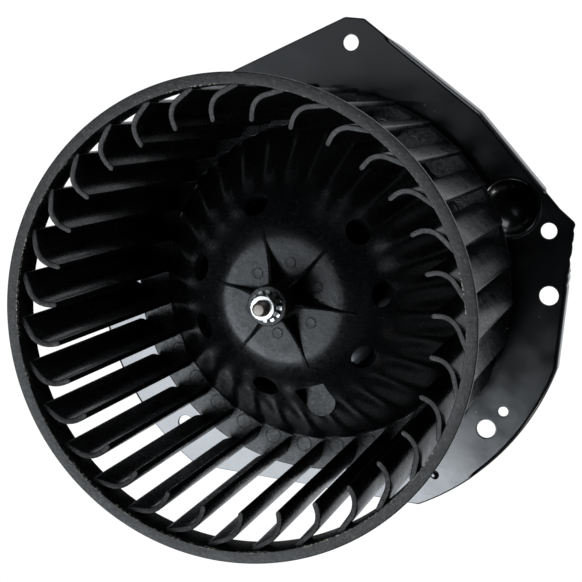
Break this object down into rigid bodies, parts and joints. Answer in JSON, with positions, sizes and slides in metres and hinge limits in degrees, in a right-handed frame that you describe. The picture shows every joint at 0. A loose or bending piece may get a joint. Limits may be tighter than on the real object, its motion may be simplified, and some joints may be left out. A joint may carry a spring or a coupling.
{
  "type": "blower motor wheel",
  "caption": "Heater blower: a moulded squirrel-cage wheel with forward-curved blades on a brushed DC motor that hangs in a stamped flange plate.",
  "frame": {"origin": "on the shaft axis, in the wheel-side face of the mounting plate", "axes": "+Z along the shaft, from the plate towards the wheel's open inlet; +X towards the plate's flat side edge and +Y towards its top corner"},
  "size_m": [0.1807, 0.1765, 0.181],
  "materials": {
    "plate_paint": "gloss",
    "case_steel": "satin",
    "cap_steel": "satin",
    "ring_steel": "satin",
    "grommet_rubber": "matte",
    "zinc": "bright",
    "sintered_bronze": "porous",
    "spring_steel": "satin",
    "ferrite": "matte",
    "phenolic": "matte",
    "holder_brass": "satin",
    "carbon": "matte",
    "choke_winding": "satin",
    "terminal_tin": "satin",
    "plug_plastic": "satin",
    "wheel_plastic": "satin",
    "shaft_steel": "ground",
    "lamination_steel": "satin",
    "enamelled_copper": "satin",
    "commutator_copper": "satin",
    "nylon": "satin"
  },
  "bodies": {
    "flange_and_motor": {"mounting_plate": "plate_paint", "motor_case": "case_steel", "rear_end_cap": "cap_steel", "motor_mount_ring": "ring_steel", "isolator_grommets": "grommet_rubber", "spacer_sleeves": "zinc", "mount_screws": "zinc", "mount_nuts": "zinc", "front_bearing": "sintered_bronze", "front_bearing_retainer": "spring_steel", "rear_bearing": "sintered_bronze", "rear_bearing_retainer": "spring_steel", "magnet_upper": "ferrite", "magnet_lower": "ferrite", "magnet_clips": "spring_steel", "brush_card": "phenolic", "brush_holders": "holder_brass", "brush_spring_right": "spring_steel", "brush_spring_left": "spring_steel", "choke_coils": "choke_winding", "terminals": "terminal_tin", "connector_housing": "plug_plastic"},
    "rotor": {"wheel_front_ring": "wheel_plastic", "wheel_blades": "wheel_plastic", "wheel_hub": "wheel_plastic", "shaft_nut": "zinc", "lock_washer": "zinc", "wheel_stop_ring": "spring_steel", "armature_shaft": "shaft_steel", "armature_core": "lamination_steel", "armature_windings": "enamelled_copper", "commutator": "commutator_copper", "thrust_washers": "nylon"},
    "right_brush": {"brush_right": "carbon"},
    "left_brush": {"brush_left": "carbon"}
  },
  "joints": [
    {"name": "wheel_spin", "type": "hinge", "parent": "flange_and_motor", "child": "rotor", "pos_m": [0, 0, 0], "axis": [0, 0, 1], "continuous": true},
    {"name": "right_brush_slide", "type": "slide", "parent": "flange_and_motor", "child": "right_brush", "axis": [1, 0, 0], "range_m": [0, 0.004], "stiffness_N_per_m": 100, "springref_m": -0.01, "deforming": ["brush_spring_right"]},
    {"name": "left_brush_slide", "type": "slide", "parent": "flange_and_motor", "child": "left_brush", "axis": [-1, 0, 0], "range_m": [0, 0.004], "stiffness_N_per_m": 100, "springref_m": -0.01, "deforming": ["brush_spring_left"]}
  ]
}
